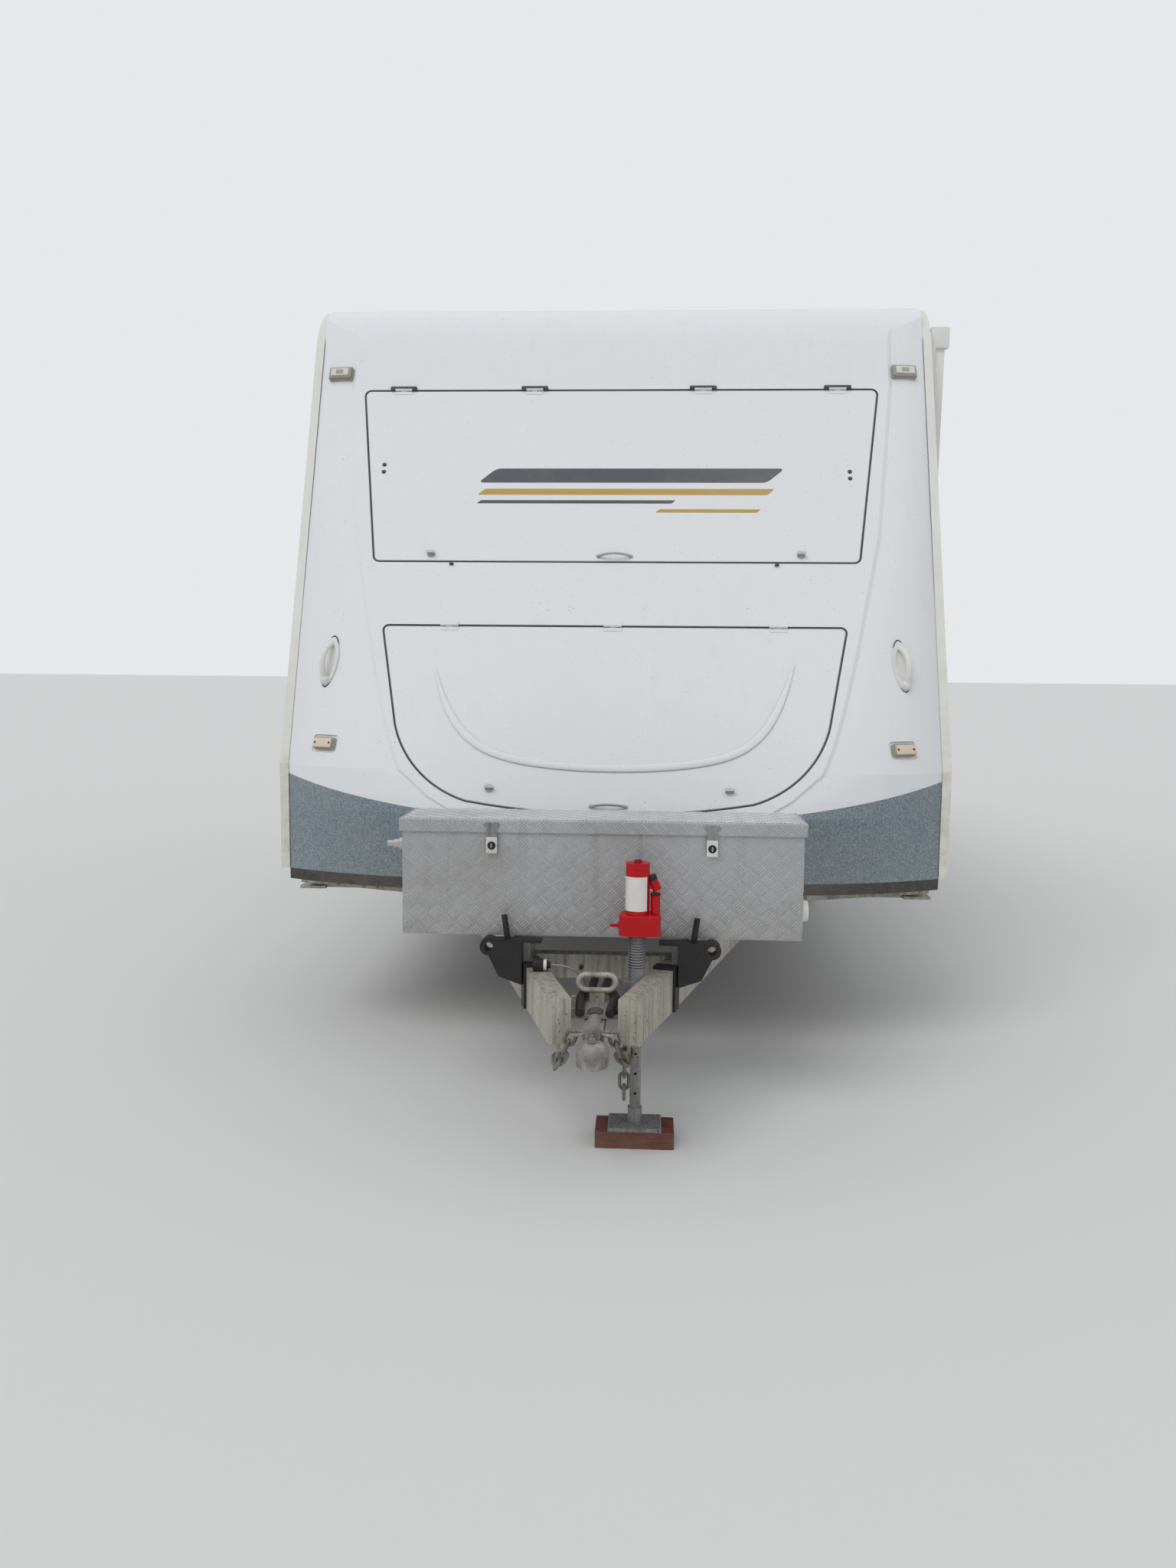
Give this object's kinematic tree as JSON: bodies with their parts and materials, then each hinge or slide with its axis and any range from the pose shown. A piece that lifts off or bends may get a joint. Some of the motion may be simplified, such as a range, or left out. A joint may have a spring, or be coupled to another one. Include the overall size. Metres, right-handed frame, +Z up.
{
  "type": "travel caravan",
  "caption": "Tandem-axle travel caravan with a raked moulded front, front boot, side door, drawbar toolbox and jack.",
  "frame": {"origin": "on the ground, in the middle of the overall length and width", "axes": "+Z up, the coupling and the front face -Y, the entry door and the awning are on +X"},
  "size_m": [2.5513, 7.7947, 2.918],
  "materials": {
    "gelcoat": "white moulded gelcoat, weathered",
    "skirt_grey": "textured blue-grey moulding",
    "panel_white": "painted aluminium skin",
    "trim_cream": "yellowed cream trim mould",
    "board": "sealed plywood",
    "galvanised": "galvanised steel",
    "tread_plate": "five-bar tread plate",
    "jack_red": "red enamel",
    "timber": "oiled hardwood block",
    "black_steel": "black painted steel",
    "tyre": "black tyre rubber",
    "rim": "silver painted alloy",
    "frame_grey": "dark grey window frame",
    "tinted_pane": "tinted acrylic pane",
    "lamp_lens": "lamp lens",
    "lamp_red": "red and amber lamp lens",
    "white_plastic": "white plastic fitting",
    "hinge_metal": "satin hinge metal",
    "tank_plastic": "black polyethylene tank",
    "cast_iron": "worn cast coupling head"
  },
  "bodies": {
    "root": {"awning": "white_plastic", "axles": "black_steel", "chassis_frame": "galvanised", "coupling": "cast_iron", "coupling_lever": "galvanised", "drawbar": "galvanised", "floor": "board", "front_bulkhead": "board", "front_moulding": "gelcoat", "front_skirt": "skirt_grey", "front_window_frame": "gelcoat", "grab_handles": "white_plastic", "hinges": "hinge_metal", "jack_block": "timber", "jack_clamp": "galvanised", "jack_head": "jack_red", "leaf_springs": "black_steel", "levelling_brackets": "black_steel", "marker_lamps": "lamp_lens", "rear_wall": "panel_white", "roof": "panel_white", "roof_hatch_lids": "white_plastic", "safety_chains": "galvanised", "side_trims": "trim_cream", "side_wall_left": "panel_white", "side_wall_right": "panel_white", "side_window_frames": "frame_grey", "spare_rim": "rim", "spare_tyre": "tyre", "tail_lamps": "lamp_red", "toolbox": "tread_plate", "tow_cable": "black_steel", "tow_plug": "black_steel", "wall_vents": "white_plastic", "water_tanks": "tank_plastic", "wheel_tubs": "tank_plastic", "window_panes": "tinted_pane"},
    "upper_hatch": {"upper_hatch": "gelcoat", "upper_hatch_locks": "white_plastic"},
    "lower_hatch": {"lower_hatch": "gelcoat", "lower_hatch_locks": "white_plastic"},
    "entry_door": {"entry_door": "panel_white", "door_pane": "tinted_pane", "door_lock": "white_plastic"},
    "toolbox_lid": {"toolbox_lid": "tread_plate", "toolbox_latches": "hinge_metal"},
    "jack_leg": {"jack_leg": "galvanised"},
    "entry_step": {"entry_step": "galvanised"},
    "wheel_front_left": {"tyre_front_left": "tyre", "rim_front_left": "rim"},
    "wheel_front_right": {"tyre_front_right": "tyre", "rim_front_right": "rim"},
    "wheel_rear_left": {"tyre_rear_left": "tyre", "rim_rear_left": "rim"},
    "wheel_rear_right": {"tyre_rear_right": "tyre", "rim_rear_right": "rim"},
    "steady_front_left": {"steady_front_left": "galvanised"},
    "steady_front_right": {"steady_front_right": "galvanised"},
    "steady_rear_left": {"steady_rear_left": "galvanised"},
    "steady_rear_right": {"steady_rear_right": "galvanised"}
  },
  "joints": [
    {"name": "wheel_front_left_spin", "type": "hinge", "parent": "root", "child": "wheel_front_left", "pos_m": [1.075, 0.43, 0.35], "axis": [1, 0, 0], "continuous": true},
    {"name": "wheel_front_right_spin", "type": "hinge", "parent": "root", "child": "wheel_front_right", "pos_m": [-1.075, 0.43, 0.35], "axis": [1, 0, 0], "continuous": true},
    {"name": "wheel_rear_left_spin", "type": "hinge", "parent": "root", "child": "wheel_rear_left", "pos_m": [1.075, 1.29, 0.35], "axis": [1, 0, 0], "continuous": true},
    {"name": "wheel_rear_right_spin", "type": "hinge", "parent": "root", "child": "wheel_rear_right", "pos_m": [-1.075, 1.29, 0.35], "axis": [1, 0, 0], "continuous": true},
    {"name": "upper_hatch_lift", "type": "hinge", "parent": "root", "child": "upper_hatch", "pos_m": [0, -2.10779, 2.48219], "axis": [-1, 0, 0], "range_deg": [0, 65]},
    {"name": "lower_hatch_lift", "type": "hinge", "parent": "root", "child": "lower_hatch", "pos_m": [0, -2.52623, 1.54819], "axis": [-1, 0, 0], "range_deg": [0, 80]},
    {"name": "entry_door_swing", "type": "hinge", "parent": "root", "child": "entry_door", "pos_m": [1.232, 2.117, 1.585], "axis": [0, 0, -1], "range_deg": [0, 110]},
    {"name": "toolbox_lid_lift", "type": "hinge", "parent": "root", "child": "toolbox_lid", "pos_m": [0, -3.084, 0.8975], "axis": [-1, 0, 0], "range_deg": [0, 100]},
    {"name": "jack_leg_slide", "type": "slide", "parent": "root", "child": "jack_leg", "axis": [0, 0, 1], "range_m": [0, 0.195]},
    {"name": "entry_step_slide", "type": "slide", "parent": "root", "child": "entry_step", "axis": [1, 0, 0], "range_m": [0, 0.28]},
    {"name": "steady_front_left_drop", "type": "hinge", "parent": "root", "child": "steady_front_left", "pos_m": [0.76, -2.33, 0.545], "axis": [0, 1, 0], "range_deg": [0, 70]},
    {"name": "steady_front_right_drop", "type": "hinge", "parent": "root", "child": "steady_front_right", "pos_m": [-0.76, -2.33, 0.545], "axis": [0, -1, 0], "range_deg": [0, 70]},
    {"name": "steady_rear_left_drop", "type": "hinge", "parent": "root", "child": "steady_rear_left", "pos_m": [0.76, 3.02, 0.545], "axis": [0, 1, 0], "range_deg": [0, 70]},
    {"name": "steady_rear_right_drop", "type": "hinge", "parent": "root", "child": "steady_rear_right", "pos_m": [-0.76, 3.02, 0.545], "axis": [0, -1, 0], "range_deg": [0, 70]}
  ]
}
